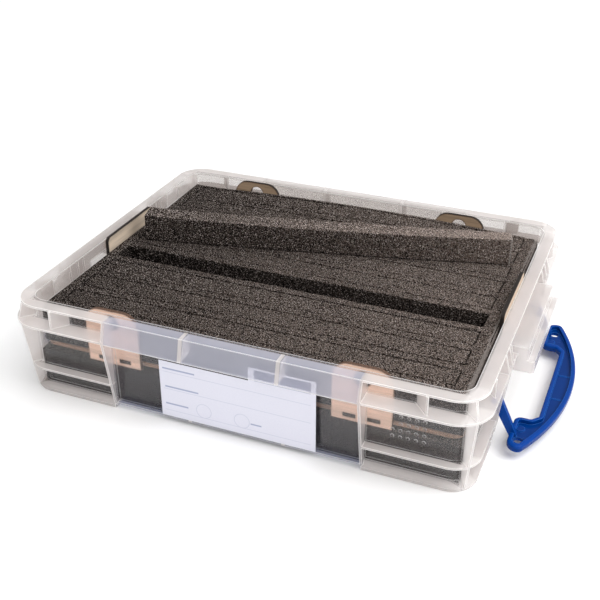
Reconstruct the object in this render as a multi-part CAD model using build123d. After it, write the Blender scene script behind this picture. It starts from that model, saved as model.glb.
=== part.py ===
"""Miniature carry case: a shallow clear tub with two swing handles, a lift-out
ply-framed foam tray, pick-out foam strips and a second foam layer below it.

Millimetres. Origin at the centre of the tub's footprint, on the surface it
stands on. +X runs along the long side towards the right-hand handle, +Y runs
away from the labelled front, +Z is up.
"""
import os
from math import cos, radians, sin

from build123d import *

# ---------------------------------------------------------------- tub
RIM_Z = 82.0                     # height of the open tub
WALL = 1.6                       # moulded wall thickness
FLOOR = 2.0
INNER_X, INNER_Y = 175.6, 139.3  # half size of the mouth, inside the wall
DRAFT = 1.3                      # how much each wall leans in by the base
INNER_R = 12.0                   # inside corner radius
FLANGE_X, FLANGE_Y, FLANGE_R = 186.6, 151.5, 23.0
LEDGE_X, LEDGE_Y, LEDGE_R = 190.5, 156.0, 27.0      # grip ledge under the flange
LEDGE_Z = 66.0
SHELF_X, SHELF_Y, SHELF_R = 185.0, 148.8, 21.5      # lower stiffening shelf
SHELF_Z = 23.8
FOOT_X, FOOT_Y, FOOT_R = 183.0, 146.0, 20.0
FOOT_BAND_Z = 9.0                # where the flared foot leaves the wall
FOOT_BAND_T = 2.2
POST_X, POST_T = 102.0, 2.0      # posts on the long sides
POST_Y = (70.5, 82.0)            # pairs of posts that fork each handle arm
RIB_T, WEB_T = 1.8, 1.6
SKIRT_T = 1.7
GUSSETS_X, GUSSET_T = (-36.6, 40.6), 2.8
GUSSET_Z0 = 65.2
END_TIE_Y = 62.0
BITE = 0.6                       # how far a rib is sunk into the wall it stands on
LABEL_LEDGE_Z, LABEL_LEDGE_OUT = 5.0, 5.2
LUG_HALF, LUG_WALL = 52.5, 1.7   # catch block on each end: half length, wall
LUG_Z0, LUG_STEP_Z, LUG_Z1 = 51.0, 61.4, 72.0
LUG_X, LUG_STEP_X = 203.3, 198.3
PIP_ROWS = ((51.0, 4), (45.0, 4), (39.2, 5), (33.5, 5))   # height, count
PIP_X, PIP_PITCH, PIP_R, PIP_SUNK = 145.6, 5.75, 1.7, 0.9
FAR = 220.0                      # beyond the tub in any direction

# ---------------------------------------------------------------- handles
PIVOT_X, PIVOT_Z = 181.5, 41.0
PIN_R, PIN_HOLE_R = 2.3, 2.4
ARM_Y, ARM_T, ARM_W = 76.2, 3.6, 7.8
PLATE_Z0, PLATE_Z1 = 6.8, 13.2   # hanging open, the plate lies level
PLATE_WEB = 2.9
RIM_T = 3.5
LOBE_X, LOBE_Y, LOBE_END = 194.7, 55.0, 93.2        # lobes at each end of the grip
GRIP_IN, GRIP_OUT, GRIP_Y = 211.4, 229.3, 49.5
LOBE_OUT, LOBE_IN = 205.6, 206.4
STIFFENER_Y, STIFFENER_T = 17.5, 1.2
EYELET, EYELET_R = (202.0, 80.5), 3.7
BOSS, BOSS_R, BOSS_H = (201.0, 66.5), 3.4, 1.8
ARM_LEAN = -66.0                 # degrees from the horizontal
ARM_FOOT_X, ARM_FOOT_UP = 196.2, 0.8

# ---------------------------------------------------------------- upper tray
TRAY_Y = 0.7                     # the tray sits slightly towards the back
PLY = 3.0
PLY_X, PLY_Y = 174.2, 137.0      # half size over the uprights
TAB_W, TAB_R, TAB_HOLE_R = 46.0, 13.0, 6.5
TAB_X = (-104.8, 98.0)
TAB_Z0, TAB_Z1 = 34.5, 82.5
TAB_HOLE_Z = 72.0
BASE_Z0 = 37.5
TENON_W, TENON_X, END_TENON_Y = 9.4, 9.3, 24.0
TENON_FIT, TENON_ROOT = 0.2, 4.0
END_Y0, END_Y1, END_Z1, END_R = -31.0, 46.0, 84.0, 4.5
FOAM_TOP = 71.5
FOAM_SPLIT = 47.6                # strip layer above, solid foam below
FIT = 0.3                        # clearance between the foam and the plywood
STRIP_L, STRIP_W = 319.6, 19.4
STRIP_H = 23.6
PITCH, ROWS, FREE_ROW = 28.6, 9, 3
STRIP_X, STRIP_Y = -1.0, 5.8
STRIP_R, BLOCK_R = 1.2, 7.0
KERF = 0.35
LOOSE_AT, LOOSE_TURN, LOOSE_UP = (-0.1, 48.0), 13.4, 0.35

# ---------------------------------------------------------------- lower layer, label
LOWER_X, LOWER_Y, LOWER_Z0, LOWER_Z1 = 173.0, 136.4, 2.3, 34.0
SHEET_R = 9.0
LABEL_X0, LABEL_X1, LABEL_TAB_X = -60.5, 66.5, 13.6
LABEL_Y, LABEL_T = -144.0, 0.45
LABEL_Z0, LABEL_Z1, LABEL_TAB_Z = 5.05, 54.6, 66.2

os.makedirs("parts", exist_ok=True)


def save(shape, node):
    """Write one node; every node must be a single valid solid."""
    solids = shape.solids()
    assert len(solids) == 1, (node, len(solids))
    export_step(solids[0], f"parts/{node}.step")


def block(x0, x1, y0, y1, z0, z1):
    return Pos((x0 + x1) / 2, (y0 + y1) / 2, (z0 + z1) / 2) * Box(x1 - x0, y1 - y0, z1 - z0)


def slab(half_x, half_y, radius, z0, z1):
    """Rounded rectangular slab centred on the origin."""
    return Pos(0, 0, z0) * extrude(RectangleRounded(2 * half_x, 2 * half_y, radius), z1 - z0)


def taper(half0, half1, r0, r1, z0, z1):
    """Rounded rectangle lofted from half-size half0 at z0 to half1 at z1."""
    low = Pos(0, 0, z0) * RectangleRounded(2 * half0[0], 2 * half0[1], r0)
    high = Pos(0, 0, z1) * RectangleRounded(2 * half1[0], 2 * half1[1], r1)
    return loft([low, high])


def plate_xz(points, y0, y1):
    """Polygon in X-Z, extruded from y0 to y1."""
    face = make_face(Polyline(*[(x, y0, z) for x, z in points], close=True))
    return extrude(face, y1 - y0, dir=(0, 1, 0))


def plate_yz(points, x0, x1):
    face = make_face(Polyline(*[(x0, y, z) for y, z in points], close=True))
    return extrude(face, x1 - x0, dir=(1, 0, 0))


def four_ways(shape):
    """The shape and its mirror images in X, Y and both."""
    half = [shape, mirror(shape, Plane.YZ)]
    return half + [mirror(s, Plane.XZ) for s in half]


# ================================================================ tub
def wall_half(z, extra=0.0):
    lean = DRAFT * (RIM_Z - z) / RIM_Z
    return INNER_X - lean + extra, INNER_Y - lean + extra


def post_profile(wall, flange, ledge, foot):
    """Outline of an outside rib, as (distance from centre, height)."""
    return [(wall - 2.0, 0.0), (foot - 7.0, 0.0), (foot - 2.6, 1.6), (foot, 6.0), (ledge, LEDGE_Z - 1.0),
            (ledge, LEDGE_Z), (flange, RIM_Z), (wall + 0.4, RIM_Z)]


def build_shell():
    """Outside and inside of the drafted wall."""
    outer = taper(wall_half(0, WALL), wall_half(RIM_Z, WALL), INNER_R, INNER_R + WALL, 0, RIM_Z)
    cavity = taper(wall_half(FLOOR), wall_half(RIM_Z + 1), INNER_R - WALL, INNER_R, FLOOR, RIM_Z + 1)
    return outer, cavity


def build_rings():
    """Flange, ledge, shelf and foot; the last three are cut away at the plain centres."""
    centre_long = block(-POST_X, POST_X, -FAR, FAR, -1, RIM_Z - WALL)
    centre_end = block(-FAR, FAR, -POST_Y[1], POST_Y[1], -1, RIM_Z - WALL)
    behind_lugs = block(-FAR, FAR, -LUG_HALF, LUG_HALF, LEDGE_Z - WALL - 1, LEDGE_Z + 1)
    flange = slab(FLANGE_X, FLANGE_Y, FLANGE_R, RIM_Z - WALL, RIM_Z)
    ledge = slab(LEDGE_X, LEDGE_Y, LEDGE_R, LEDGE_Z - WALL, LEDGE_Z) - centre_long - behind_lugs
    shelf = slab(SHELF_X, SHELF_Y, SHELF_R, SHELF_Z - WALL, SHELF_Z) - centre_long - centre_end
    foot = slab(FOOT_X, FOOT_Y, FOOT_R, 0, 2 * WALL)
    foot = fillet(foot.edges().group_by(Axis.Z)[0], WALL)
    band_out = taper((FOOT_X, FOOT_Y), wall_half(FOOT_BAND_Z, WALL + 0.3), FOOT_R, INNER_R + 1,
                     2 * WALL, FOOT_BAND_Z)
    band_in = taper((FOOT_X - FOOT_BAND_T, FOOT_Y - FOOT_BAND_T), wall_half(FOOT_BAND_Z, -BITE),
                    FOOT_R - 2, INNER_R - 1, 2 * WALL, FOOT_BAND_Z)
    foot = foot + (band_out - band_in) - centre_long - centre_end
    return [flange, ledge, shelf, foot]


def build_ribs():
    """Posts, handle forks, corner fins, and the webs and ties between ledge and flange."""
    long_rib = post_profile(INNER_Y, FLANGE_Y, LEDGE_Y, FOOT_Y)
    end_rib = post_profile(INNER_X, FLANGE_X, LEDGE_X, FOOT_X)
    parts = four_ways(plate_yz(long_rib, POST_X - POST_T / 2, POST_X + POST_T / 2))
    for y in POST_Y:
        fork = plate_xz(end_rib, y - RIB_T / 2, y + RIB_T / 2)
        fork -= Pos(PIVOT_X, y, PIVOT_Z) * Rot(90, 0, 0) * Cylinder(PIN_HOLE_R, 2 * RIB_T)
        parts += four_ways(fork)

    corner = (INNER_X - INNER_R, INNER_Y - INNER_R)
    fin = plate_xz([(INNER_R - 3, 0), (17, 0), (19, 2), (20, 6), (27, LEDGE_Z - 1), (27, LEDGE_Z),
                    (23, RIM_Z), (INNER_R + BITE, RIM_Z)], -RIB_T / 2, RIB_T / 2)
    parts += four_ways(Pos(*corner, 0) * Rot(0, 0, 45) * fin)

    half, z0 = WEB_T / 2, LEDGE_Z - 0.5
    long_web = make_face(Polyline((138.0 - half, INNER_Y + 0.5), (149.0 - half, LEDGE_Y - 3.4),
                                  (149.0 + half, LEDGE_Y - 3.4), (138.0 + half, INNER_Y + 0.5), close=True))
    end_web = make_face(Polyline((INNER_X + 0.5, 104.0 - half), (FLANGE_X + BITE, 115.0 - half),
                                 (FLANGE_X + BITE, 115.0 + half), (INNER_X + 0.5, 104.0 + half), close=True))
    for web in (long_web, end_web):
        parts += four_ways(Pos(0, 0, z0) * extrude(web, RIM_Z - z0 - 1))
    tie = plate_xz([(INNER_X + BITE, LEDGE_Z - 0.8), (LEDGE_X - 1.0, LEDGE_Z - 0.8),
                    (FLANGE_X - 0.8, RIM_Z - 0.8), (INNER_X + BITE, RIM_Z - 0.8)],
                   END_TIE_Y - half, END_TIE_Y + half)
    return parts + four_ways(tie)


def build_skirts():
    """Flared skirt along the centre of each long side, its gussets and the label's ledge."""
    skirt = plate_yz([(FLANGE_Y, RIM_Z), (LEDGE_Y, LEDGE_Z - WALL), (LEDGE_Y - SKIRT_T, LEDGE_Z - WALL),
                      (FLANGE_Y - SKIRT_T, RIM_Z - WALL), (FLANGE_Y - SKIRT_T, RIM_Z)], -POST_X, POST_X)
    parts = [skirt]
    for x in GUSSETS_X:
        parts.append(plate_yz([(INNER_Y + BITE, GUSSET_Z0), (LEDGE_Y - 1.4, GUSSET_Z0),
                               (FLANGE_Y - 0.8, RIM_Z - 0.8), (INNER_Y + BITE, RIM_Z - 0.8)],
                              x - GUSSET_T / 2, x + GUSSET_T / 2))
    parts += [mirror(part, Plane.XZ) for part in parts]
    rest_y = INNER_Y + LABEL_LEDGE_OUT
    return parts + [block(-POST_X, POST_X, -rest_y, rest_y, LABEL_LEDGE_Z - WALL, LABEL_LEDGE_Z)]


def build_lugs():
    """Two-step catch block on each end, open underneath, with a rib at its middle."""
    step = [(INNER_X, LUG_Z1), (LUG_STEP_X, LUG_Z1), (LUG_STEP_X, LUG_STEP_Z), (LUG_X, LUG_STEP_Z),
            (LUG_X, LUG_Z0), (INNER_X, LUG_Z0)]
    top, riser, mid, side = LUG_Z1 - 1.8, LUG_STEP_X - LUG_WALL, LUG_STEP_Z - 1.8, LUG_X - LUG_WALL
    inside = [(INNER_X - 1, top), (riser, top), (riser, mid), (side, mid), (side, LUG_Z0 - 1),
              (INNER_X - 1, LUG_Z0 - 1)]
    lug = plate_xz(step, -LUG_HALF, LUG_HALF)
    lug = fillet([e for e in lug.edges().filter_by(Axis.Z) if e.center().X > LUG_STEP_X - 1], 2.0)
    lug -= plate_xz(inside, -LUG_HALF + LUG_WALL, LUG_HALF - LUG_WALL)
    lug = lug + plate_xz(step, -RIB_T / 2, RIB_T / 2)
    return [lug, mirror(lug, Plane.YZ)]


def build_tub():
    outer, cavity = build_shell()
    tub = outer + build_rings() + build_ribs() + build_skirts() + build_lugs() - cavity
    # small moulded pips low on the front wall, beside the right-hand corner
    for z, count in PIP_ROWS:
        y = PIP_SUNK - wall_half(z, WALL)[1]
        for i in range(count):
            tub = tub + (Pos(PIP_X - PIP_PITCH * i, y, z) * Sphere(PIP_R) - cavity)
    return tub


# ================================================================ handles
def handle_plan():
    """Outline of the handle seen from above while it hangs open."""
    corners = [(LOBE_X, -LOBE_END), (LOBE_X, -LOBE_Y), (LOBE_IN, -LOBE_Y), (GRIP_IN, -GRIP_Y),
               (GRIP_IN, GRIP_Y), (LOBE_IN, LOBE_Y), (LOBE_X, LOBE_Y), (LOBE_X, LOBE_END)]
    sides = Polyline((LOBE_OUT, -LOBE_END), *corners, (LOBE_OUT, LOBE_END)).edges()
    plan = make_face([*sides, ThreePointArc((LOBE_OUT, LOBE_END), (GRIP_OUT, 0), (LOBE_OUT, -LOBE_END))]).face()
    for picked, radius in (
            (lambda x, y: x < LOBE_X + 1 and y > LOBE_Y + 1, 7.5),
            (lambda x, y: x < LOBE_X + 1 and y < LOBE_Y + 1, 5.5),
            (lambda x, y: x > LOBE_OUT - 0.5 and y < LOBE_Y + 1, 2.5),
            (lambda x, y: abs(x - LOBE_OUT) < 0.2 and y > LOBE_END - 1, 5.0)):
        plan = fillet([v for v in plan.vertices() if picked(v.X, abs(v.Y))], radius)
    return plan


def build_handle():
    """Right-hand handle, hanging open with its plate level."""
    plan = handle_plan()
    body = Pos(0, 0, PLATE_Z0) * extrude(plan, PLATE_Z1 - PLATE_Z0)
    body = fillet(body.edges().group_by(Axis.Z)[0], 2.4)
    body = fillet(body.edges().group_by(Axis.Z)[-1], 1.7)
    floor_z = PLATE_Z0 + PLATE_WEB
    body -= Pos(0, 0, floor_z) * extrude(offset(plan, -RIM_T, kind=Kind.INTERSECTION), PLATE_Z1)
    inner = Pos(0, 0, floor_z - 0.5) * extrude(offset(plan, 0.4 - RIM_T, kind=Kind.INTERSECTION), 1.1)
    for y in (-STIFFENER_Y, STIFFENER_Y):
        body += inner & block(LOBE_OUT, GRIP_OUT, y - STIFFENER_T / 2, y + STIFFENER_T / 2, PLATE_Z0, PLATE_Z1)
    for side in (-1, 1):
        body -= Pos(EYELET[0], EYELET[1] * side, PLATE_Z0) * Cylinder(EYELET_R, 2 * PLATE_Z0)
        body += Pos(BOSS[0], BOSS[1] * side, floor_z) * Cylinder(BOSS_R, BOSS_H)
        body += build_arm(side)
    return body


def build_arm(side):
    """Flat bar from the plate's lobe up to the pivot, with its hinge pin."""
    lean = radians(ARM_LEAN)
    nx, nz = -sin(lean) * ARM_W / 2, cos(lean) * ARM_W / 2
    foot_x, foot_z = ARM_FOOT_X, PLATE_Z0 + ARM_FOOT_UP
    bar = plate_xz([(PIVOT_X + nx, PIVOT_Z + nz), (PIVOT_X - nx, PIVOT_Z - nz),
                    (foot_x - nx + 0.4, foot_z + 5.0), (foot_x - 0.6, foot_z), (foot_x + nx, foot_z),
                    (foot_x + nx, foot_z + 4.4)],
                   ARM_Y - ARM_T / 2, ARM_Y + ARM_T / 2)
    eye = Pos(PIVOT_X, ARM_Y, PIVOT_Z) * Rot(90, 0, 0) * Cylinder(ARM_W / 2, ARM_T)
    pin = Pos(PIVOT_X, ARM_Y, PIVOT_Z) * Rot(90, 0, 0) * Cylinder(PIN_R, POST_Y[1] - POST_Y[0] + RIB_T)
    arm = bar + eye + pin
    return arm if side > 0 else mirror(arm, Plane.XZ)


# ================================================================ upper tray
def build_tab(x, back):
    """Front or back upright with a finger hole and two mortises."""
    sketch = Pos(0, (TAB_Z0 + TAB_Z1) / 2) * Rectangle(TAB_W, TAB_Z1 - TAB_Z0)
    sketch = fillet(sketch.vertices().group_by(Axis.Y)[-1], TAB_R)
    sketch -= Pos(0, TAB_HOLE_Z) * Circle(TAB_HOLE_R)
    for dx in (-TENON_X, TENON_X):
        sketch -= Pos(dx, BASE_Z0 + PLY / 2) * Rectangle(TENON_W + TENON_FIT, PLY + TENON_FIT)
    y = TRAY_Y + PLY_Y if back else TRAY_Y - PLY_Y + PLY
    return Pos(x, y, 0) * extrude(Plane.XZ * sketch, PLY)


def build_end(side):
    """End upright; its foot is tenoned into the base like the tabs."""
    mid, width = (END_Y0 + END_Y1) / 2, END_Y1 - END_Y0
    sketch = Pos(mid, (TAB_Z0 + END_Z1) / 2) * Rectangle(width, END_Z1 - TAB_Z0)
    sketch = fillet(sketch.vertices().group_by(Axis.Y)[-1], END_R)
    for dy in (-END_TENON_Y, END_TENON_Y):
        sketch -= Pos(mid + dy, BASE_Z0 + PLY / 2) * Rectangle(TENON_W + TENON_FIT, PLY + TENON_FIT)
    x = PLY_X - PLY if side > 0 else -PLY_X
    return Pos(x, 0, 0) * extrude(Plane.YZ * sketch, PLY)


def build_base():
    """Tray floor with tenons that pass through the uprights."""
    inner_x, inner_y = PLY_X - PLY - 0.1, PLY_Y - PLY - 0.1
    base = Pos(0, TRAY_Y, BASE_Z0) * extrude(RectangleRounded(2 * inner_x, 2 * inner_y, SHEET_R), PLY)
    mid = (END_Y0 + END_Y1) / 2
    for x in TAB_X:
        for dx in (-TENON_X, TENON_X):
            for s in (-1, 1):
                y = TRAY_Y + s * (inner_y + (PLY - TENON_ROOT) / 2)
                base += Pos(x + dx, y, BASE_Z0 + PLY / 2) * Box(TENON_W, PLY + TENON_ROOT, PLY)
    for s in (-1, 1):
        for dy in (-END_TENON_Y, END_TENON_Y):
            x = s * (inner_x + (PLY - TENON_ROOT) / 2)
            base += Pos(x, mid + dy, BASE_Z0 + PLY / 2) * Box(PLY + TENON_ROOT, TENON_W, PLY)
    return base


def row_y(row):
    return STRIP_Y + (row - ROWS // 2) * PITCH


def build_strip(row):
    z0 = FOAM_TOP - STRIP_H
    strip = Pos(STRIP_X, row_y(row), z0 + STRIP_H / 2) * Box(STRIP_L, STRIP_W, STRIP_H)
    return fillet(strip.edges().filter_by(Axis.Z), STRIP_R)


def foam_block(z0, z1):
    """Foam cut to drop in between the plywood uprights."""
    half_x, half_y = PLY_X - PLY - FIT, PLY_Y - PLY - FIT
    return Pos(0, TRAY_Y, z0) * extrude(RectangleRounded(2 * half_x, 2 * half_y, BLOCK_R), z1 - z0)


def build_foam_frame():
    frame = foam_block(FOAM_SPLIT, FOAM_TOP)
    for row in range(ROWS):
        frame -= Pos(STRIP_X, row_y(row), FOAM_TOP) * Box(
            STRIP_L + 2 * KERF, STRIP_W + 2 * KERF, 4 * STRIP_H)
    return frame


def build_loose_strip():
    strip = Box(STRIP_L, STRIP_W, STRIP_H)
    strip = fillet(strip.edges().filter_by(Axis.Z), STRIP_R)
    return Pos(*LOOSE_AT, FOAM_TOP + LOOSE_UP + STRIP_H / 2) * Rot(0, 0, LOOSE_TURN) * strip


# ================================================================ lower layer, label
def build_lower_foam():
    outline = RectangleRounded(2 * LOWER_X, 2 * LOWER_Y, SHEET_R)
    return Pos(0, 0, LOWER_Z0) * extrude(outline, LOWER_Z1 - LOWER_Z0)


def build_label():
    card = make_face(Polyline(
        (LABEL_X0, 0, LABEL_Z0), (LABEL_X1, 0, LABEL_Z0), (LABEL_X1, 0, LABEL_TAB_Z),
        (LABEL_TAB_X, 0, LABEL_TAB_Z), (LABEL_TAB_X, 0, LABEL_Z1), (LABEL_X0, 0, LABEL_Z1), close=True))
    return Pos(0, LABEL_Y, 0) * extrude(card, LABEL_T, dir=(0, -1, 0))


save(build_tub(), "tub")
handle = build_handle()
save(handle, "handle_right")
save(mirror(handle, Plane.YZ), "handle_left")

save(build_base(), "tray_base")
for name, x in zip(("left", "right"), TAB_X):
    save(build_tab(x, back=False), f"tab_front_{name}")
    save(build_tab(x, back=True), f"tab_rear_{name}")
save(build_end(-1), "upright_left")
save(build_end(1), "upright_right")
save(foam_block(BASE_Z0 + PLY + FIT, FOAM_SPLIT - 0.05), "tray_foam_floor")
save(build_foam_frame(), "tray_foam_frame")
for row in range(ROWS):
    if row != FREE_ROW:
        save(build_strip(row), f"foam_strip_{row + 1}")
save(build_loose_strip(), "foam_strip_loose")

save(build_lower_foam(), "lower_foam")
save(build_label(), "label_card")
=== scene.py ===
"""Looks for the miniature carry case: clear tub, blue handles, plywood tray, foam."""
import math
import random

import bmesh
import bpy
from mathutils import Matrix, Vector, noise


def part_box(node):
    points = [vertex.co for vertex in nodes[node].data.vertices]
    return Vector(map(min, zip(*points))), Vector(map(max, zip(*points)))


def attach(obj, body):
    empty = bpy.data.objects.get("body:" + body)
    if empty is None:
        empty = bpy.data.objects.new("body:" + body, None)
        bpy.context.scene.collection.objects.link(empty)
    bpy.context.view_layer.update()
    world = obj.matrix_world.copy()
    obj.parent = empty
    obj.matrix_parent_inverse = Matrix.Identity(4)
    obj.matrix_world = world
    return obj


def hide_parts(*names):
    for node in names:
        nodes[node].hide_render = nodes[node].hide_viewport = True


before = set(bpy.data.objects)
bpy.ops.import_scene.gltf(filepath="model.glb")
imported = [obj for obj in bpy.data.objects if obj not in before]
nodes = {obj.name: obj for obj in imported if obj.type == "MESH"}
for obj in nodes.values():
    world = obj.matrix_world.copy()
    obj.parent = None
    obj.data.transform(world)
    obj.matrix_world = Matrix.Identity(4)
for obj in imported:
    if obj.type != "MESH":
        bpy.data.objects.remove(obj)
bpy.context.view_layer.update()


# ---------------------------------------------------------------- shader helpers
def rgb(colour, share=1.0):
    """A colour for a socket, scaled by a share."""
    return (*(c * share for c in colour), 1)


class Shader:
    """A new material and short names for the nodes it is wired from."""

    def __init__(self, name):
        self.mat = bpy.data.materials.new(name)
        self.mat.use_nodes = True
        self.tree = self.mat.node_tree
        self.tree.nodes.clear()
        self.out = self.tree.nodes.new("ShaderNodeOutputMaterial")
        self.coord = self.tree.nodes.new("ShaderNodeTexCoord").outputs["Object"]
        self.normal = self.tree.nodes.new("ShaderNodeNewGeometry").outputs["True Normal"]

    def node(self, kind, **values):
        n = self.tree.nodes.new("ShaderNode" + kind)
        for key, value in values.items():
            if key in n.inputs:
                self.put(n.inputs[key], value)
            else:
                setattr(n, key, value)
        return n

    def put(self, socket, value):
        if isinstance(value, bpy.types.NodeSocket):
            self.tree.links.new(value, socket)
        else:
            socket.default_value = value

    def math(self, op, a, b=0.0, c=0.0):
        n = self.tree.nodes.new("ShaderNodeMath")
        n.operation = op
        for socket, value in zip(n.inputs, (a, b, c)):
            self.put(socket, value)
        return n.outputs[0]

    def chain(self, op, first, *others):
        for other in others:
            first = self.math(op, first, other)
        return first

    def add(self, *values):
        return self.chain("ADD", *values)

    def mul(self, *values):
        return self.chain("MULTIPLY", *values)

    def most(self, *values):
        return self.chain("MAXIMUM", *values)

    def sub(self, a, b):
        return self.math("SUBTRACT", a, b)

    def abs(self, a):
        return self.math("ABSOLUTE", a)

    def xyz(self, vector):
        return self.node("SeparateXYZ", Vector=vector).outputs

    def scaled(self, x, y, z):
        n = self.node("Mapping", Vector=self.coord)
        n.inputs["Scale"].default_value = (x, y, z)
        return n.outputs[0]

    def noise(self, scale, detail=4.0, rough=0.55, vector=None):
        return self.node("TexNoise", Vector=vector or self.coord, Scale=scale, Detail=detail,
                         Roughness=rough).outputs["Fac"]

    def cells(self, scale, vector):
        """Distance to the middle of the nearest of many small cells."""
        return self.node("TexVoronoi", Vector=vector, Scale=scale).outputs["Distance"]

    def ramp(self, value, low, high, to_low=0.0, to_high=1.0):
        """to_low where the value is low, to_high where it is high, and straight between."""
        n = self.tree.nodes.new("ShaderNodeMapRange")
        for socket, v in zip(n.inputs, (value, low, high, to_low, to_high)):
            self.put(socket, v)
        return n.outputs[0]

    def beyond(self, value, start, soft):
        """0 up to the start, rising to 1 over soft. A negative soft turns the way round."""
        return self.ramp(value, start, start + soft)

    def inside(self, value, centre, half, soft):
        """1 where |value - centre| < half, falling to 0 over soft."""
        return self.ramp(self.abs(self.sub(value, centre)), half, half + soft, 1.0, 0.0)

    def mix(self, factor, a, b):
        n = self.tree.nodes.new("ShaderNodeMix")
        n.data_type = "RGBA"
        self.put(n.inputs[0], factor)
        self.put(n.inputs[6], a)
        self.put(n.inputs[7], b)
        return n.outputs[2]

    def mix_value(self, factor, a, b):
        return self.add(self.mul(a, self.sub(1.0, factor)), self.mul(b, factor))

    def bump(self, height, distance, strength, normal=None):
        n = self.node("Bump", Height=height, Distance=distance, Strength=strength)
        if normal is not None:
            self.put(n.inputs["Normal"], normal)
        return n.outputs[0]

    def rounded(self, radius, samples=6):
        """Normal as if every edge had this radius."""
        return self.node("Bevel", samples=samples, Radius=radius).outputs[0]

    def edges(self, radius, samples=6):
        """1 within about a radius of a sharp edge, 0 on the open surface."""
        open_cosine, edge_cosine = 0.995, 0.82
        dot = self.node("VectorMath", operation="DOT_PRODUCT")
        self.put(dot.inputs[0], self.rounded(radius, samples))
        self.put(dot.inputs[1], self.normal)
        return self.ramp(self.abs(dot.outputs["Value"]), open_cosine, edge_cosine)

    def principled(self, **values):
        n = self.node("BsdfPrincipled")
        for key, value in values.items():
            self.put(n.inputs[key.replace("_", " ")], value)
        self.tree.links.new(n.outputs[0], self.out.inputs["Surface"])
        return n

    def blend(self, factor, a, b):
        n = self.tree.nodes.new("ShaderNodeMixShader")
        self.put(n.inputs[0], factor)
        self.put(n.inputs[1], a)
        self.put(n.inputs[2], b)
        return n.outputs[0]


def dress(material, *names):
    for name in names:
        mesh = nodes[name].data
        mesh.materials.clear()
        mesh.materials.append(material)


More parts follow.
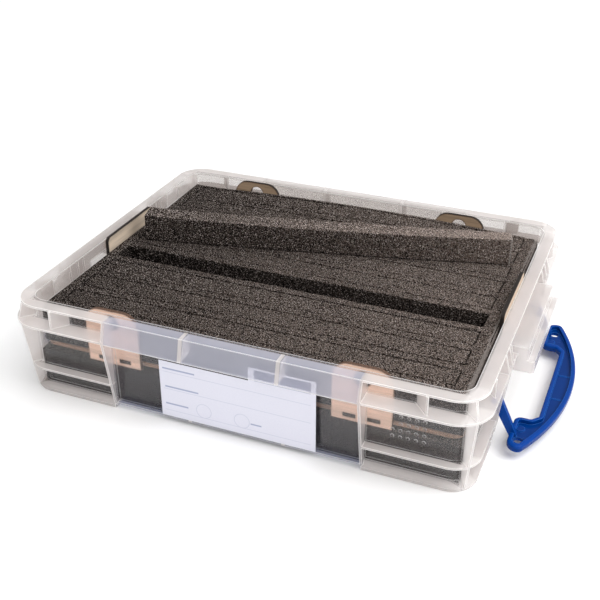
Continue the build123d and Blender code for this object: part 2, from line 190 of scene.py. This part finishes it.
# ---------------------------------------------------------------- clear plastic
def clear_plastic():
    """Clear polypropylene: nearly clear walls, milky rings and ends, edges made bright with painted
    highlight.
    Light passing through turns slightly warm and grey; it is darker at the back and the left end,
    which is painted shade, and blue along the foot, which is painted shadow. Scattered light is cool
    on the skirts, and warm at the corners, the ends and the back; it is whiter at the +X tip as
    painted light, and milkier on the pip domes as painted highlight."""
    # where the plastic changes, in metres from the tub's middle or up from its underside
    wall_x, wall_y, wall_soft = 0.1773, 0.1410, 0.0012
    corner_x, end_x, tip_x, tip_y = 0.1005, 0.1745, 0.1715, 0.120
    gusset_xs, gusset_half = (-0.0366, 0.0406), 0.0014
    pip_x, pip_z, pip_half_x, pip_half_z = 0.134, 0.042, 0.017, 0.0125
    front_y, rear_y, rear_soft, left_x = -0.1395, 0.1365, 0.0010, -0.165
    rear_wall_y, rear_wall_half = 0.1398, 0.0026
    heel_top, rim_low, rim_high, low_edge_x = 0.0038, 0.070, 0.078, 0.164
    edge_radius, edge_samples = 0.0018, 8

    # shares of the light that are scattered instead of let through
    inner_milk, skirt_milk, corner_milk, end_milk = 0.02, 0.315, 0.5, 0.27
    left_tip_milk, right_tip_milk, gusset_milk, pip_glint_share = 0.5, 0.38, 0.62, 0.2
    least_milk, back_milk = 0.024, 0.07
    # painted highlight: extra scatter along the edges
    edge_highlight_share, end_edge_highlight_share, rim_edge_highlight_share = 0.42, 0.24, 0.8

    s = Shader("clear_plastic")
    x, y, z = s.xyz(s.coord)
    far_x, far_y = s.abs(x), s.abs(y)
    _, across, upward = s.xyz(s.normal)

    # zones
    outside = s.most(s.beyond(far_x, wall_x, wall_soft), s.beyond(far_y, wall_y, wall_soft))
    corner = s.beyond(far_x, corner_x, 0.0020)
    end = s.beyond(far_x, end_x, 0.0025)
    tip = s.mul(s.beyond(far_x, tip_x, 0.0025), s.beyond(far_y, tip_y, 0.012))
    rear = s.beyond(y, rear_y, rear_soft)
    back = s.most(end, rear)
    # painted shade: the back and the left end let less light through
    painted_shade = s.most(rear, s.beyond(x, left_x, -0.007))
    # painted shade: the rear wall lets still less light through
    painted_rear_wall_shade = s.inside(y, rear_wall_y, rear_wall_half, 0.0005)
    # painted shadow: a blue band along the foot of the tub, away from the corners
    painted_foot_shadow = s.mul(s.beyond(z, heel_top, -0.0008), s.sub(1.0, corner))
    gussets = s.most(*(s.inside(x, at, gusset_half, 0.0003) for at in gusset_xs))
    pips = s.mul(s.beyond(y, front_y, -0.0005), s.inside(x, pip_x, pip_half_x, 0.001),
                 s.inside(z, pip_z, pip_half_z, 0.001))
    # painted highlight: the sloped faces of the pip domes are made milkier so they glint
    dome_glints = s.mul(pips, s.ramp(s.abs(across), 0.995, 0.90))
    skin = s.most(s.ramp(s.mul(across, y), 0.0, 0.02), s.ramp(upward, 0.3, 0.5))
    edge = s.edges(edge_radius, edge_samples)

    # how milky each zone is
    haze = s.ramp(s.noise(22, 3), 0.3, 0.7, 0.97, 1.05)
    skirt = s.ramp(skin, 0, 1, inner_milk, skirt_milk)
    milk = s.mul(outside, s.ramp(corner, 0, 1, skirt, corner_milk))
    milk = s.mix_value(end, milk, end_milk)
    milk = s.most(milk, s.mul(tip, s.ramp(x, -0.1, 0.1, left_tip_milk, right_tip_milk)))
    milk = s.most(milk, s.mul(outside, gussets, gusset_milk))
    milk = s.add(s.mul(milk, haze), s.ramp(back, 0, 1, least_milk, back_milk))
    milk = s.add(milk, s.mul(dome_glints, pip_glint_share))
    # painted highlight: edges are made milkier, most of all at the rim
    low_edge_highlight_share = s.ramp(far_x, low_edge_x, low_edge_x + 0.004, edge_highlight_share, end_edge_highlight_share)
    milk = s.add(milk, s.mul(edge, s.ramp(z, rim_low, rim_high, low_edge_highlight_share, rim_edge_highlight_share)))

    # the light let through, darker at the back and the left end and darker still on the rear wall as
    # painted shade, and blue along the foot as painted shadow
    through = s.mix(end, rgb((0.962, 0.951, 0.949)), rgb((0.945, 0.933, 0.929)))
    through = s.mix(painted_shade, through, rgb((0.885, 0.868, 0.858)))
    through = s.mix(painted_rear_wall_shade, through, rgb((0.80, 0.782, 0.77)))
    through = s.mix(painted_foot_shadow, through, rgb((0.50, 0.55, 0.68)))
    clear = s.node("BsdfTransparent", Color=through).outputs[0]

    # the light scattered
    warm = s.most(corner, back, gussets)
    white = s.mix(warm, rgb((0.70, 0.72, 0.85)), rgb((0.90, 0.86, 0.845)))
    # painted light: whiter scatter towards the +X tip
    white = s.mix(s.mul(tip, s.ramp(x, 0.0, 0.1)), white, rgb((1.0, 0.975, 0.965)))
    # painted highlight: whiter scatter along the edges
    white = s.mix(edge, white, rgb((0.97, 0.96, 0.95)))
    diffuse = s.node("BsdfDiffuse", Color=white).outputs[0]
    glow = s.node("BsdfTranslucent", Color=white).outputs[0]
    body = s.blend(milk, clear, s.blend(0.5, diffuse, glow))

    # gloss that grows towards grazing angles
    facing = s.node("LayerWeight", Blend=0.5).outputs["Facing"]
    gloss = s.math("MULTIPLY_ADD", s.math("POWER", facing, 5.0), 0.8, 0.035)
    waviness = s.bump(s.noise(26, 1, 0.4), 0.0004, 0.2)
    shine = s.node("BsdfGlossy", Color=(1, 1, 1, 1), Roughness=0.17, Normal=waviness).outputs[0]
    s.tree.links.new(s.blend(gloss, body, shine), s.out.inputs["Surface"])
    return s.mat


# ---------------------------------------------------------------- blue plastic
def blue_plastic():
    """Blue moulded plastic, slightly cloudy, paler along its edges as painted highlight, with a darker
    band of painted shade at the height of the recess floor.
    """
    recess_shade_z, recess_shade_half, recess_shade_soft = 0.0098, 0.0006, 0.0008
    s = Shader("blue_plastic")
    grain = s.noise(1500, 2)
    cloud = s.noise(35, 3)
    # painted shade: a darker band at the height of the recess floor
    recess_shade = s.inside(s.xyz(s.coord)["Z"], recess_shade_z, recess_shade_half, recess_shade_soft)
    colour = s.mix(cloud, rgb((0.0, 0.034, 0.20)), rgb((0.0, 0.048, 0.30)))
    colour = s.mix(s.mul(recess_shade, 0.5), colour, rgb((0.0, 0.016, 0.09)))
    # painted highlight: paler blue along the edges
    colour = s.mix(s.mul(s.edges(0.0010), 0.6), colour, rgb((0.03, 0.18, 0.66)))
    s.principled(Base_Color=colour, Roughness=s.ramp(cloud, 0.3, 0.7, 0.2, 0.3),
                 Specular_IOR_Level=0.1, Normal=s.bump(grain, 0.00006, 0.5, s.rounded(0.0006)))
    return s.mat


# ---------------------------------------------------------------- plywood
def plywood(name, axis, tone, smoke=0.35, burnt=(0.05, 0.033, 0.024), tenons=None):
    """Birch ply cut by laser: axis is the sheet's normal, and cut faces are charred, most of
    all on the ends of the tenons of the node named."""
    along, wide, close, pore_scale = 9, 1, 220, 5
    stretches = {"Y": (along, wide, close), "X": (wide, along, close), "Z": (along, close, wide)}
    s = Shader(name)
    cut = s.ramp(s.abs(s.xyz(s.normal)["XYZ".index(axis)]), 0.75, 0.6)
    stretch = stretches[axis]
    grain = s.noise(1.0, 6, 0.65, s.scaled(*stretch))
    pores = s.noise(1.0, 3, 0.5, s.scaled(*(v * pore_scale for v in stretch)))
    cloud = s.noise(30, 3)
    colour = s.mix(s.ramp(grain, 0.38, 0.62), rgb(tone), rgb(tone, 0.7))
    colour = s.mix(s.mul(s.ramp(pores, 0.60, 0.68), 0.5), colour, rgb(tone, 0.4))
    colour = s.mix(s.mul(s.ramp(cloud, 0.4, 0.7), 0.25), colour, rgb(tone, 0.85))
    scorch = s.mul(s.edges(0.0022), s.ramp(s.noise(160, 3), 0.3, 0.65, 0.6, 1.2))
    colour = s.mix(s.mul(scorch, smoke * 2), colour, rgb((0.09, 0.05, 0.03)))
    char = s.ramp(s.noise(900, 4), 0.3, 0.7)
    colour = s.mix(cut, colour, s.mix(char, rgb(burnt, 0.3), rgb(burnt)))
    if tenons:
        colour = s.mix(tenon_ends(s, tenons), colour, rgb((0.03, 0.018, 0.012)))
    height = s.add(s.mul(grain, 0.6), s.mul(char, s.mul(cut, 0.8)))
    s.principled(Base_Color=colour, Roughness=0.62, Specular_IOR_Level=0.3,
                 Normal=s.bump(height, 0.00015, 0.6))
    return s.mat


def tenon_ends(s, tenons):
    """1 close to the outermost faces of the node named, in x and in y."""
    reach, soft = 0.0006, 0.0003
    ends = 0.0
    for value, low, high in zip(s.xyz(s.coord)[:2], *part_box(tenons)):
        ends = s.most(ends, s.beyond(value, low + reach, -soft), s.beyond(value, high - reach, soft))
    return ends


# ---------------------------------------------------------------- foam
def foam(name, lift=1.0, cut=0.5, sides=0.0, right=0.0, tip=None):
    """Open-cell charcoal foam: dark pits between pale struts, flecks that catch the light.
    lift scales its brightness; the loose strip's high lift is painted light. Cut sides and eased edges
    are darker than the skived top by the share cut, and this darkening is painted shade. Its front
    face is smoothed by the share sides. right lightens it towards +X and on its +X end, which is
    painted light. tip is (centre x, centre y, angle, half length) of a strip whose +X end has a pale
    frayed edge, its paleness painted highlight."""
    pit, strut, fleck_colour = (0.0030, 0.0022, 0.0018), (0.190, 0.149, 0.128), (0.60, 0.52, 0.48)
    shade, smooth_front = (0.0015, 0.0012, 0.001), (0.027, 0.026, 0.034)
    pale, tip_highlight = (0.34, 0.31, 0.29), (0.36, 0.33, 0.31)
    cell_scale, fine_scale, fleck_scale, warp_scale, warp_by = 980, 1700, 1150, 500.0, 0.0010
    roll_x, face_y = 0.166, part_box("tray_foam_frame")[0][1]

    s = Shader(name)
    warp = s.node("VectorMath", operation="MULTIPLY_ADD")
    wander = s.node("TexNoise", Vector=s.coord, Scale=warp_scale, Detail=2.0).outputs["Color"]
    s.put(warp.inputs[0], wander)
    warp.inputs[1].default_value = (warp_by, warp_by, warp_by)
    s.put(warp.inputs[2], s.coord)
    where = warp.outputs[0]

    # how bright each point is, from dark pits to pale struts; the rise from left to right and the
    # extra lift towards +X are painted light
    clump = s.ramp(s.noise(cell_scale, 1.5, 0.55, where), 0.44, 0.57)
    pits = s.ramp(s.cells(cell_scale, where), 0.12, 0.60)
    fine = s.ramp(s.noise(fine_scale, 1, 0.5, where), 0.42, 0.6)
    fleck = s.ramp(s.noise(fleck_scale, 2, 0.6), 0.575, 0.66)
    drift = s.noise(24, 3)
    x, y, _ = s.xyz(s.coord)
    level = s.add(s.mul(clump, 0.54), s.mul(pits, 0.22), s.mul(fine, 0.24),
                  s.mul(s.sub(drift, 0.5), 0.2))
    # painted light: brighter from left to right
    level = s.mul(level, s.ramp(x, -0.17, 0.12, 0.55, 1.03))
    # painted light: right brightens it further towards +X
    level = s.add(level, s.ramp(x, 0.0, 0.15, 0.0, right))

    # masks by where a face is and which way it looks
    tilt = s.xyz(s.normal)
    rolled = s.mul(s.inside(tilt["Z"], 0.62, 0.28, 0.08), s.ramp(tilt["X"], 0.3, 0.4),
                   s.beyond(x, roll_x, 0.002))
    skin = s.most(s.ramp(tilt["Z"], 0.55, 0.93), rolled)
    # painted light: the +X end face, lightened by right
    end = s.mul(s.ramp(tilt["X"], 0.4, 0.7), right * 2)
    front = s.mul(s.ramp(y, face_y + 0.0022, face_y + 0.0012),
                  s.sub(1.0, s.ramp(tilt["Z"], 0.6, 0.9)))

    colour = s.mix(s.ramp(level, 0.32, 0.93), rgb(pit, lift), rgb(strut, lift))
    # painted shade: faces that do not look up, the eased edges among them, darken by the share cut
    colour = s.mix(s.ramp(skin, 0, 1, cut, 0.0), colour, rgb(shade))
    colour = s.mix(s.mul(fleck, s.ramp(skin, 0, 1, 0.6, 1.0)), colour, rgb(fleck_colour, lift))
    # painted highlight on the rolled +X edge of the frame, and painted light on the +X end face
    colour = s.mix(s.most(s.mul(rolled, 0.75), end), colour, rgb(pale))
    if tip:
        centre_x, centre_y, angle, half = tip
        along = s.add(s.mul(s.sub(x, centre_x), math.cos(angle)),
                      s.mul(s.sub(y, centre_y), math.sin(angle)))
        # painted highlight: a pale band at the strip's +X end
        frayed = s.ramp(along, half - 0.0020, half - 0.0008)
        colour = s.mix(s.mul(frayed, 0.55), colour, rgb(tip_highlight))
    colour = s.mix(s.mul(front, sides), colour, rgb(smooth_front, lift))
    height = s.add(s.mul(clump, 0.8), s.mul(pits, 0.5))
    s.principled(Base_Color=colour, Roughness=0.95, Specular_IOR_Level=0.03,
                 Normal=s.bump(height, 0.0012, 0.9))
    return s.mat


# ---------------------------------------------------------------- card
def card():
    """White card with a generic printed form: rules, short bars, two rings, one block.
    Its measures are millimetres, counted from the card's lower left corner."""
    rules_at = ((63, 40.5, 60, 0.12), (63, 25, 60, 0.12), (63, 5.5, 60, 0.1))
    headings_at = ((16.3, 43.4, 13.4, 0.55), (18.3, 27.2, 14.0, 0.55),
                   (13.4, 11.5, 9.5, 0.55), (79.5, 10.9, 4.3, 0.5))
    rings_at = ((36.2, 11.8, 6.2), (67.9, 11.6, 6.2))
    block_at, line_at = (101, 56.2, 22.0, 3.6), (101, 50.7, 22.0, 0.35)
    s = Shader("card")
    x, _, z = s.xyz(s.coord)
    (x0, _, z0), _ = [tuple(v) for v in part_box("label_card")]
    u, v = s.mul(s.sub(x, x0), 1000), s.mul(s.sub(z, z0), 1000)

    def bar(centre_u, centre_v, half_u, half_v):
        return s.mul(s.inside(u, centre_u, half_u, 0.25), s.inside(v, centre_v, half_v, 0.25))

    def ring(centre_u, centre_v, radius):
        du, dv = s.sub(u, centre_u), s.sub(v, centre_v)
        return s.inside(s.math("SQRT", s.add(s.mul(du, du), s.mul(dv, dv))), radius, 0.12, 0.3)

    fibre = s.noise(700, 4)
    rules = s.most(*(bar(*at) for at in rules_at), *(ring(*at) for at in rings_at))
    headings = s.most(*(bar(*at) for at in headings_at))
    colour = s.mix(fibre, rgb((0.70, 0.70, 0.80)), rgb((0.76, 0.76, 0.84)))
    colour = s.mix(s.mul(rules, 0.45), colour, rgb((0.40, 0.44, 0.56)))
    colour = s.mix(s.mul(headings, 0.6), colour, rgb((0.10, 0.16, 0.36)))
    colour = s.mix(bar(*block_at), colour, rgb((0.03, 0.04, 0.10)))
    colour = s.mix(s.mul(bar(*line_at), 0.5), colour, rgb((0.10, 0.13, 0.25)))
    s.principled(Base_Color=colour, Roughness=0.5, Specular_IOR_Level=0.35,
                 Normal=s.bump(fibre, 0.00003, 0.4))
    return s.mat


# ---------------------------------------------------------------- foam shapes
FINE_CELL, COARSE_CELL = 0.0022, 0.003   # grid pitch of the strips and of the wide layers
EASE = 0.0010                            # edges are worn back by about 0.4 of this
TEAR = 0.00022                           # scale of the torn relief
BESIDE_EDGE = 0.0009                     # most that the first grid line lies from an edge
NARROW = 0.0016                          # spans narrower than this are not divided
ROLL_STEPS = 4                           # grid lines across the rolled edge

# each side of a grid square: the neighbour it looks at, then its two corners
SIDES = (((-1, 0), (0, 1), (0, 0)),
         ((1, 0), (1, 0), (1, 1)),
         ((0, -1), (0, 0), (1, 0)),
         ((0, 1), (1, 1), (0, 1)))


def grid_lines(lo, hi, cuts, cell):
    """Grid positions from lo to hi that meet every cut edge, and are close beside edges."""
    stops = sorted({round(v, 6) for v in [lo, hi, *(v for cut in cuts for v in cut)] if lo <= v <= hi})
    lines = []
    for a, b in zip(stops, stops[1:]):
        span = b - a
        if span < NARROW:
            lines += [a]
            continue
        near = min(BESIDE_EDGE, span * 0.3)
        count = max(1, round((span - 2 * near) / cell))
        lines += [a, a + near]
        lines += [a + near + (span - 2 * near) * n / count for n in range(1, count)]
        lines += [b - near]
    return lines + [stops[-1]]


def add_block(bm, xs, ys, zs, holes):
    """Join the grid positions into a closed block with rectangular cuts through it."""
    made = {}
    top = len(zs) - 1

    def vert(i, j, k):
        if (i, j, k) not in made:
            made[i, j, k] = bm.verts.new((xs[i], ys[j], zs[k]))
        return made[i, j, k]

    def full(i, j):
        if not (0 <= i < len(xs) - 1 and 0 <= j < len(ys) - 1):
            return False
        cx, cy = (xs[i] + xs[i + 1]) / 2, (ys[j] + ys[j + 1]) / 2
        return not any(h[0] < cx < h[1] and h[2] < cy < h[3] for h in holes)

    for i in range(len(xs) - 1):
        for j in range(len(ys) - 1):
            if not full(i, j):
                continue
            bm.faces.new([vert(i, j, top), vert(i + 1, j, top),
                          vert(i + 1, j + 1, top), vert(i, j + 1, top)])
            bm.faces.new([vert(i, j, 0), vert(i, j + 1, 0),
                          vert(i + 1, j + 1, 0), vert(i + 1, j, 0)])
            for (di, dj), (ai, aj), (bi, bj) in SIDES:
                if full(i + di, j + dj):
                    continue
                for k in range(top):
                    bm.faces.new([vert(i + ai, j + aj, k), vert(i + bi, j + bj, k),
                                  vert(i + bi, j + bj, k + 1), vert(i + ai, j + aj, k + 1)])


def ease_edges(bm, round_by, seed):
    """Wear each edge back, unevenly: a vertex normal leans outwards where faces meet."""
    for v in bm.verts:
        lean = sum(abs(c) for c in v.normal) - 1.0
        uneven = 1.0 + 1.1 * noise.noise(v.co * 22 + Vector((seed * 3.7, 0, 0)))
        v.co -= v.normal * round_by * uneven * max(0.0, lean)


def roll_edge(bm, x1, z1, roll):
    """Roll the upper +X edge to a radius."""
    for v in bm.verts:
        out, up = v.co.x - (x1 - roll), v.co.z - (z1 - roll)
        if out > 0 and up > 0:
            shrink = max(out, up) / math.hypot(out, up)
            v.co.x -= out * (1 - shrink)
            v.co.z -= up * (1 - shrink)


def tear_surface(bm, seed):
    """Raise and sink the surface a little, as torn cells do."""
    for v in bm.verts:
        p = v.co * 600 + Vector((seed * 17.3, seed * 5.1, 0))
        v.co += v.normal * TEAR * (noise.noise(p) - 0.35)


def solid(name, outline, z0, z1, cell=FINE_CELL, holes=(), round_by=EASE, roll=0.0, seed=0):
    """A closed foam block: rectangle outline (x0, x1, y0, y1) with rectangular cuts through
    it, eased edges and a torn open-cell surface. roll is the radius of its upper +X edge."""
    turns = [roll * n / ROLL_STEPS for n in range(ROLL_STEPS, 0, -1)] if roll else []
    x_cuts = [h[:2] for h in holes] + [(outline[1] - r,) for r in turns]
    xs = grid_lines(outline[0], outline[1], x_cuts, cell)
    ys = grid_lines(outline[2], outline[3], [h[2:] for h in holes], cell)
    zs = grid_lines(z0, z1, [(z1 - r,) for r in turns], cell)
    bm = bmesh.new()
    add_block(bm, xs, ys, zs, holes)
    bm.normal_update()
    ease_edges(bm, round_by, seed)
    if roll:
        roll_edge(bm, outline[1], z1, roll)
    tear_surface(bm, seed)
    mesh = bpy.data.meshes.new(name)
    bm.to_mesh(mesh)
    bm.free()
    for poly in mesh.polygons:
        poly.use_smooth = True
    obj = bpy.data.objects.new(name, mesh)
    bpy.context.collection.objects.link(obj)
    return obj


def foam_piece(obj, material, node, body):
    obj.data.materials.append(material)
    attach(obj, body)
    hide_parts(node)
    return obj


def swell(obj, z0, z1):
    """Lift the tray foam's rear margin, which bulges upwards between its ends."""
    height, start_y, run, middle_x, half_x = 0.0044, 0.085, 0.045, 0.01, 0.155
    for v in obj.data.vertices:
        rear = min(1.0, max(0.0, (v.co.y - start_y) / run))
        middle = max(0.0, 1.0 - ((v.co.x - middle_x) / half_x) ** 2)
        up = (v.co.z - z0) / (z1 - z0)
        v.co.z += height * rear * rear * (3 - 2 * rear) * middle * up


def outline_of(node):
    (x0, y0, z0), (x1, y1, z1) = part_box(node)
    return (x0, x1, y0, y1), z0, z1


# ---------------------------------------------------------------- foam pieces
STRIPS = (1, 2, 3, 5, 6, 7, 8, 9)        # row 4 is the empty slot
UNDER_LOOSE_STRIP = (5, 6, 7, 8)         # these ride with the tray
kerf = 0.0005                            # width of the cut around each strip
left_kerf = kerf * 1.6
roll_radius = 0.0045
most_drop = 0.0005

foam_tray = foam("foam_tray", lift=1.06, cut=0.62, sides=0.4)
foam_lower = foam("foam_lower", lift=0.65, cut=0.3, sides=0.5)
strip_names = [f"foam_strip_{n}" for n in STRIPS]
rng = random.Random(7)

# strips that stand in their slots, the top of each lowered a little by chance
for seed, (number, name) in enumerate(zip(STRIPS, strip_names), start=1):
    box, z0, z1 = outline_of(name)
    body = "tray" if number in UNDER_LOOSE_STRIP else f"strip_{number}"
    piece = solid(f"{name}_foam", box, z0, z1 - rng.uniform(0.0, most_drop), seed=seed)
    swell(piece, z0, z1)
    foam_piece(piece, foam_tray, name, body)

# the loose strip, modelled straight and then turned and put in place
bow, bow_lean, sag, slump_by = 0.0024, 0.0014, 0.0009, 0.0024
(lx0, ly0, lz0), (lx1, ly1, lz1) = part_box("foam_strip_loose")
box, z0, z1 = outline_of("foam_strip_1")
length, width = box[1] - box[0], box[3] - box[2]
loose_x, loose_y, depth = (lx0 + lx1) / 2, (ly0 + ly1) / 2, ly1 - ly0

# the angle at which the turned strip just fills the depth of its box
turn = math.asin(min(1.0, (depth - width) / (length - width * 0.5)))
for _ in range(30):
    turn -= (length * math.sin(turn) + width * math.cos(turn) - depth) / (length * math.cos(turn))

loose = solid("foam_strip_loose_foam", (-length / 2, length / 2, -width / 2, width / 2), lz0, lz1,
              round_by=EASE / 2, seed=11)
for v in loose.data.vertices:
    # it bows towards the front, leans out a little at the top, sags, and slumps at its right rear
    along, up = v.co.x / (length / 2), (v.co.z - lz0) / (lz1 - lz0)
    belly = 1.0 - along * along
    v.co.y -= belly * (bow + bow_lean * up)
    slump = max(0.0, along) ** 1.5 * max(0.0, v.co.y / width + 0.5) * up
    v.co.z -= belly * sag * up + slump_by * slump
loose.data.transform(Matrix.Translation((loose_x, loose_y, 0)) @ Matrix.Rotation(turn, 4, "Z"))
# painted light: the loose strip is a brighter copy of the tray foam, lift 1.75 against 1.06
foam_loose_lit = foam("foam_loose_lit", lift=1.75, cut=0.46, right=0.2,
                  tip=(loose_x, loose_y, turn, length / 2))
foam_piece(loose, foam_loose_lit, "foam_strip_loose", "loose_strip")

# the slotted strip layer, with the empty slot between rows 3 and 5
box, z0, z1 = outline_of("tray_foam_frame")
sx0, sx1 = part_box("foam_strip_1")[0][0] - left_kerf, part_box("foam_strip_1")[1][0] + kerf
slots = [(sx0, sx1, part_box(n)[0][1] - kerf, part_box(n)[1][1] + kerf) for n in strip_names]
row_3, row_5 = slots[2], slots[3]
empty_y = (row_5[2] + row_3[2]) / 2
slots.append((sx0, sx1, empty_y, empty_y + slots[0][3] - slots[0][2]))
piece = solid("tray_foam_frame_foam", box, z0, z1, cell=COARSE_CELL, holes=slots, roll=roll_radius,
              seed=21)
swell(piece, z0, z1)
foam_piece(piece, foam_tray, "tray_foam_frame", "tray")

for node, body, material, seed in (("tray_foam_floor", "tray", foam_tray, 22),
                                   ("lower_foam", "lower_foam", foam_lower, 23)):
    box, z0, z1 = outline_of(node)
    piece = solid(f"{node}_foam", box, z0, z1, cell=COARSE_CELL, seed=seed)
    foam_piece(piece, material, node, body)

# ---------------------------------------------------------------- CAD nodes keep their shape
dress(clear_plastic(), "tub")
dress(blue_plastic(), "handle_right", "handle_left")
dress(card(), "label_card")
# painted light and shade: the front tabs take a lighter copy of the ply tone and the rear tabs a
# darker copy, the rear also stained by more smoke near its edges
dress(plywood("plywood_front_lit", "Y", (0.92, 0.66, 0.52), burnt=(0.16, 0.09, 0.06)),
      "tab_front_left", "tab_front_right")
dress(plywood("plywood_rear_shaded", "Y", (0.46, 0.325, 0.215), smoke=0.7, burnt=(0.025, 0.016, 0.011)),
      "tab_rear_left", "tab_rear_right")
dress(plywood("plywood_end", "X", (0.80, 0.66, 0.52), burnt=(0.02, 0.013, 0.01)),
      "upright_left", "upright_right")
dress(plywood("plywood_base", "Z", (0.66, 0.47, 0.355), burnt=(0.40, 0.24, 0.16), tenons="tray_base"),
      "tray_base")

# ---------------------------------------------------------------- floor
floor_size, floor_gap, floor_grey, floor_roughness = 40, 0.0001, 0.95, 0.9
floor_mat = bpy.data.materials.new("floor")
floor_mat.use_nodes = True
floor_surface = floor_mat.node_tree.nodes["Principled BSDF"].inputs
floor_surface["Base Color"].default_value = rgb((floor_grey, floor_grey, floor_grey))
floor_surface["Roughness"].default_value = floor_roughness
bpy.ops.mesh.primitive_plane_add(size=floor_size, location=(0, 0, -floor_gap))
floor = bpy.context.object
floor.name = "floor"
floor.data.materials.append(floor_mat)

# ---------------------------------------------------------------- light
scene = bpy.context.scene
world = bpy.data.worlds.new("studio")
world.use_nodes = True
sky = world.node_tree


def sky_math(op, a, b):
    step = sky.nodes.new("ShaderNodeMath")
    step.operation = op
    for socket, value in zip(step.inputs, (a, b)):
        if isinstance(value, bpy.types.NodeSocket):
            sky.links.new(value, socket)
        else:
            socket.default_value = value
    return step.outputs[0]


def sky_lobe(direction, sharpness, strength):
    """Brightness of a soft light far away in this direction."""
    dot = sky.nodes.new("ShaderNodeVectorMath")
    dot.operation = "DOT_PRODUCT"
    sky.links.new(sky.nodes.new("ShaderNodeTexCoord").outputs["Generated"], dot.inputs[0])
    dot.inputs[1].default_value = Vector(direction).normalized()
    towards = sky_math("MAXIMUM", dot.outputs["Value"], 0.0)
    return sky_math("MULTIPLY", sky_math("POWER", towards, sharpness), strength)


overhead = sky_lobe((0.25, 0.1, 1), sharpness=3.0, strength=1.95)
front_fill = sky_lobe((0.4, -1.0, 0.55), sharpness=7.0, strength=1.3)
even_light = 0.22
brightness = sky_math("ADD", sky_math("ADD", overhead, front_fill), even_light)
sky.links.new(brightness, sky.nodes["Background"].inputs["Strength"])
sky.nodes["Background"].inputs["Color"].default_value = (1, 1, 1, 1)
scene.world = world

lamp_data = bpy.data.lights.new("softbox", "AREA")
lamp_data.size = 0.7
lamp_data.energy = 5.0
softbox = bpy.data.objects.new("softbox", lamp_data)
softbox.location = (0.75, -0.1, 0.85)
softbox_aim = Vector((0.1, 0, 0))
softbox.rotation_euler = (softbox_aim - softbox.location).to_track_quat("-Z", "Y").to_euler()
bpy.context.collection.objects.link(softbox)

scene.view_settings.view_transform = "Standard"
scene.view_settings.look = "None"
scene.cycles.transparent_max_bounces = 64
scene.cycles.max_bounces = 12

# ---------------------------------------------------------------- camera
cam_data = bpy.data.cameras.new("camera")
cam_data.lens = 59.0
cam_data.sensor_width = 36.0
cam_data.clip_start = 0.01
cam_data.clip_end = 50
camera = bpy.data.objects.new("camera", cam_data)
yaw, pitch = math.radians(22.128), math.radians(29.395)
camera.location = (0.272, -0.67975, 0.456)
camera.rotation_euler = (math.pi / 2 - pitch, 0, yaw)
bpy.context.collection.objects.link(camera)
scene.camera = camera
